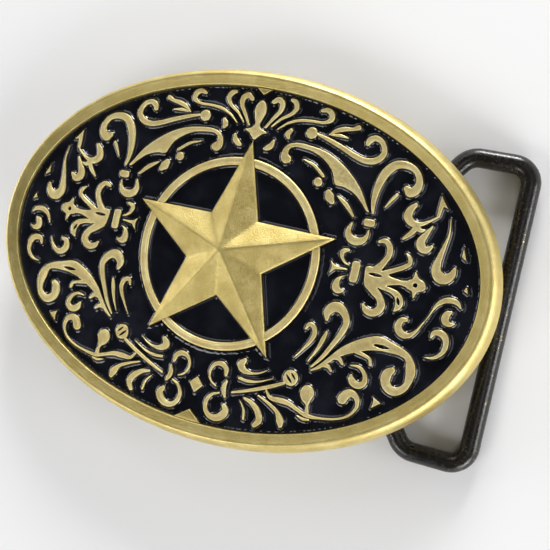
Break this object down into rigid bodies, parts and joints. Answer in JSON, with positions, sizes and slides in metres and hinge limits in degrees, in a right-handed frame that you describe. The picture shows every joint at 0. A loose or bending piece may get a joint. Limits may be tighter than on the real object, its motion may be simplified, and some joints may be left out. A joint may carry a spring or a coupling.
{
  "type": "belt buckle",
  "caption": "Oval plate buckle with a raised star, ring and scrolls in black enamel, a swinging wire bail and a belt peg.",
  "frame": {"origin": "centre of the oval, on the table that the buckle lies on face up", "axes": "+X along the oval's width towards the bail, +Y to the top of the star, +Z out of the face"},
  "size_m": [0.0956, 0.0658, 0.012],
  "materials": {
    "antique_brass": "satin antique brass, fine grain, darker in the hollows",
    "back_brass": "dull cast brass",
    "black_enamel": "poured glossy blue-black enamel",
    "blackened_steel": "worn black finish over brass, glossy"
  },
  "bodies": {
    "plate": {"base_plate": "back_brass", "rim_moulding": "antique_brass", "rim_top_point": "antique_brass", "rim_bottom_point": "antique_brass", "enamel_field": "black_enamel", "enamel_star_cells": "black_enamel", "star": "antique_brass", "star_ring": "antique_brass", "crown_finial": "antique_brass", "centre_diamond": "antique_brass", "top_curl_right": "antique_brass", "top_curl_left": "antique_brass", "upper_leaf_right": "antique_brass", "upper_leaf_left": "antique_brass", "frond_right": "antique_brass", "frond_left": "antique_brass", "flame_leaf_right": "antique_brass", "flame_leaf_left": "antique_brass", "side_fleur_right": "antique_brass", "side_fleur_left": "antique_brass", "side_scroll_right": "antique_brass", "side_scroll_left": "antique_brass", "crook_right": "antique_brass", "crook_left": "antique_brass", "lower_acanthus_right": "antique_brass", "lower_acanthus_left": "antique_brass", "bud_spray_right": "antique_brass", "bud_spray_left": "antique_brass", "base_scroll_right": "antique_brass", "base_scroll_left": "antique_brass", "hinge_tube": "back_brass", "tube_saddle": "back_brass", "belt_peg": "back_brass", "peg_flange": "back_brass"},
    "bail": {"bail_wire": "blackened_steel"}
  },
  "joints": [
    {"name": "bail_hinge", "type": "hinge", "parent": "plate", "child": "bail", "pos_m": [0.0276, 0, 0.0025], "axis": [0, 1, 0], "range_deg": [-7, 180]}
  ]
}
